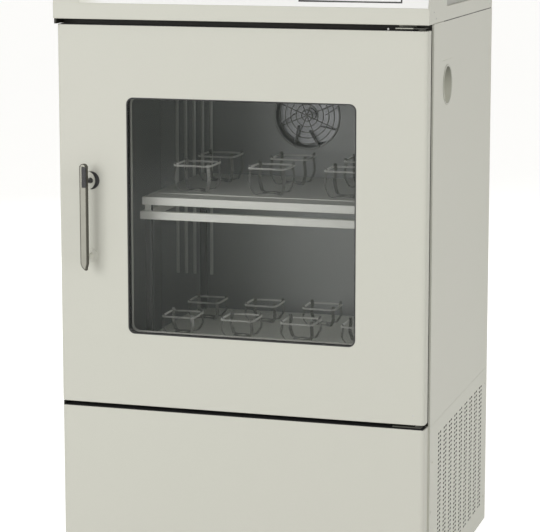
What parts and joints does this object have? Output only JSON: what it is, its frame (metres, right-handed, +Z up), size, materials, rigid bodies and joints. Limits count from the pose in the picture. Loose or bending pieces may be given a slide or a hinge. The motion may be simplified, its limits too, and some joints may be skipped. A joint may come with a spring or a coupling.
{
  "type": "shaking incubator",
  "caption": "Floor-standing shaking incubator with a windowed side-hinged door, flask decks on an orbital shaker, a sloped control head, louvred side panels and casters.",
  "frame": {"origin": "on the floor, under the middle of the bounding box", "axes": "+Z up, the door faces -Y, its hinges are on the +X side"},
  "size_m": [0.9336, 0.7804, 1.6275],
  "materials": {
    "cream_paint": "satin",
    "base_steel": "matte",
    "foam": "matte",
    "stainless": "satin",
    "jamb_plastic": "matte",
    "door_liner": "satin",
    "grip_plastic": "satin",
    "panel_film": "satin",
    "display_glass": "gloss",
    "key_rubber": "satin",
    "circuit_board": "satin",
    "tinted_glass": "polished",
    "black_rubber": "matte",
    "grey_gasket": "matte",
    "hinge_steel": "satin",
    "handle_alloy": "satin",
    "black_plastic": "satin",
    "cast_drive": "matte",
    "ground_steel": "polished",
    "motor_enamel": "satin",
    "platform_alloy": "satin",
    "deck_sheet": "satin",
    "spring_steel": "satin",
    "fan_alloy": "satin",
    "heater_sheath": "matte",
    "exchanger_fins": "satin",
    "condenser_fins": "matte",
    "compressor_black": "gloss",
    "fan_plastic": "matte",
    "inlet_plastic": "matte",
    "zinc_plate": "satin",
    "wheel_rubber": "matte"
  },
  "bodies": {
    "cabinet": {"outer_casing": "cream_paint", "head_shell": "cream_paint", "lower_front_panel": "cream_paint", "lower_rear_panel": "cream_paint", "vent_panel_left": "cream_paint", "vent_panel_right": "cream_paint", "base_frame": "base_steel", "insulation": "foam", "chamber_liner": "stainless", "rear_baffle": "stainless", "door_frame": "jamb_plastic", "side_grip_left": "grip_plastic", "side_grip_right": "grip_plastic", "control_panel": "panel_film", "display_screen": "display_glass", "controller_board": "circuit_board", "drive_belt": "black_rubber", "hinge_bracket_top": "hinge_steel", "hinge_bracket_bottom": "hinge_steel", "drive_plate": "cast_drive", "drive_motor": "motor_enamel", "fan_motor": "motor_enamel", "heater_coil": "heater_sheath", "evaporator": "exchanger_fins", "condenser": "condenser_fins", "compressor": "compressor_black", "power_inlet": "inlet_plastic"},
    "door": {"door_shell": "cream_paint", "door_inner_panel": "door_liner", "window_outer_glass": "tinted_glass", "window_inner_glass": "tinted_glass", "window_seal": "black_rubber", "door_gasket": "grey_gasket", "door_handle": "handle_alloy", "latch_escutcheon": "black_plastic"},
    "platform": {"platform_frame": "platform_alloy", "lower_deck": "deck_sheet", "upper_rack": "platform_alloy", "upper_deck": "deck_sheet", "lower_clamp_tray": "spring_steel", "upper_clamp_tray": "spring_steel"},
    "latch_button": {"latch_button": "black_plastic"},
    "main_crank": {"main_crank": "ground_steel"},
    "support_crank_1": {"support_crank_1": "ground_steel"},
    "support_crank_2": {"support_crank_2": "ground_steel"},
    "support_crank_3": {"support_crank_3": "ground_steel"},
    "motor_pulley": {"motor_pulley": "ground_steel"},
    "circulation_fan": {"circulation_fan": "fan_alloy"},
    "condenser_fan": {"condenser_fan": "fan_plastic"},
    "power_switch": {"power_switch": "inlet_plastic"},
    "key_set": {"key_set": "key_rubber"},
    "key_run": {"key_run": "key_rubber"},
    "caster_front_left": {"caster_fork_front_left": "zinc_plate"},
    "wheel_front_left": {"caster_wheel_front_left": "wheel_rubber"},
    "caster_front_right": {"caster_fork_front_right": "zinc_plate"},
    "wheel_front_right": {"caster_wheel_front_right": "wheel_rubber"},
    "caster_rear_left": {"caster_fork_rear_left": "zinc_plate"},
    "wheel_rear_left": {"caster_wheel_rear_left": "wheel_rubber"},
    "caster_rear_right": {"caster_fork_rear_right": "zinc_plate"},
    "wheel_rear_right": {"caster_wheel_rear_right": "wheel_rubber"}
  },
  "joints": [
    {"name": "door_hinge", "type": "hinge", "parent": "cabinet", "child": "door", "pos_m": [0.442, -0.33175, 0.511], "axis": [0, 0, 1], "range_deg": [0, 110]},
    {"name": "latch_press", "type": "slide", "parent": "door", "child": "latch_button", "axis": [0, 1, 0], "range_m": [0, 0.003], "stiffness_N_per_m": 400},
    {"name": "main_spin", "type": "hinge", "parent": "cabinet", "child": "main_crank", "pos_m": [0, -0.01175, 0.5832], "axis": [0, 0, 1], "continuous": true},
    {"name": "platform_orbit", "type": "hinge", "parent": "main_crank", "child": "platform", "pos_m": [0.013, -0.01175, 0.5942], "axis": [0, 0, 1], "continuous": true},
    {"name": "support_spin_1", "type": "hinge", "parent": "cabinet", "child": "support_crank_1", "pos_m": [-0.2, -0.14175, 0.5832], "axis": [0, 0, 1], "continuous": true},
    {"name": "support_spin_2", "type": "hinge", "parent": "cabinet", "child": "support_crank_2", "pos_m": [0.2, -0.14175, 0.5832], "axis": [0, 0, 1], "continuous": true},
    {"name": "support_spin_3", "type": "hinge", "parent": "cabinet", "child": "support_crank_3", "pos_m": [0, 0.13825, 0.5832], "axis": [0, 0, 1], "continuous": true},
    {"name": "motor_spin", "type": "hinge", "parent": "cabinet", "child": "motor_pulley", "pos_m": [-0.255, -0.01175, 0.4635], "axis": [0, 0, 1], "continuous": true},
    {"name": "fan_spin", "type": "hinge", "parent": "cabinet", "child": "circulation_fan", "pos_m": [0, 0.29685, 1.1724], "axis": [0, 1, 0], "continuous": true},
    {"name": "condenser_fan_spin", "type": "hinge", "parent": "cabinet", "child": "condenser_fan", "pos_m": [0.2, 0.27855, 0.2063], "axis": [0, 1, 0], "continuous": true},
    {"name": "switch_rock", "type": "hinge", "parent": "cabinet", "child": "power_switch", "pos_m": [-0.33, 0.37825, 0.44], "axis": [1, 0, 0], "range_deg": [0, 20]},
    {"name": "key_set_press", "type": "slide", "parent": "cabinet", "child": "key_set", "axis": [0, 0.9465, -0.3227], "range_m": [0, 0.001], "stiffness_N_per_m": 800},
    {"name": "key_run_press", "type": "slide", "parent": "cabinet", "child": "key_run", "axis": [0, 0.9465, -0.3227], "range_m": [0, 0.001], "stiffness_N_per_m": 800},
    {"name": "swivel_front_left", "type": "hinge", "parent": "cabinet", "child": "caster_front_left", "pos_m": [-0.4, -0.27975, 0.0777], "axis": [0, 0, 1], "continuous": true},
    {"name": "roll_front_left", "type": "hinge", "parent": "caster_front_left", "child": "wheel_front_left", "pos_m": [-0.4, -0.25575, 0.02942], "axis": [1, 0, 0], "continuous": true},
    {"name": "swivel_front_right", "type": "hinge", "parent": "cabinet", "child": "caster_front_right", "pos_m": [0.4, -0.27975, 0.0777], "axis": [0, 0, 1], "continuous": true},
    {"name": "roll_front_right", "type": "hinge", "parent": "caster_front_right", "child": "wheel_front_right", "pos_m": [0.4, -0.25575, 0.02942], "axis": [1, 0, 0], "continuous": true},
    {"name": "swivel_rear_left", "type": "hinge", "parent": "cabinet", "child": "caster_rear_left", "pos_m": [-0.4, 0.32825, 0.0777], "axis": [0, 0, 1], "continuous": true},
    {"name": "roll_rear_left", "type": "hinge", "parent": "caster_rear_left", "child": "wheel_rear_left", "pos_m": [-0.4, 0.35225, 0.02942], "axis": [1, 0, 0], "continuous": true},
    {"name": "swivel_rear_right", "type": "hinge", "parent": "cabinet", "child": "caster_rear_right", "pos_m": [0.4, 0.32825, 0.0777], "axis": [0, 0, 1], "continuous": true},
    {"name": "roll_rear_right", "type": "hinge", "parent": "caster_rear_right", "child": "wheel_rear_right", "pos_m": [0.4, 0.35225, 0.02942], "axis": [1, 0, 0], "continuous": true}
  ],
  "couplings": [
    {"joint": "platform_orbit", "follows": "main_spin", "ratio": -1},
    {"joint": "support_spin_1", "follows": "main_spin", "ratio": 1},
    {"joint": "support_spin_2", "follows": "main_spin", "ratio": 1},
    {"joint": "support_spin_3", "follows": "main_spin", "ratio": 1},
    {"joint": "motor_spin", "follows": "main_spin", "ratio": 4}
  ]
}
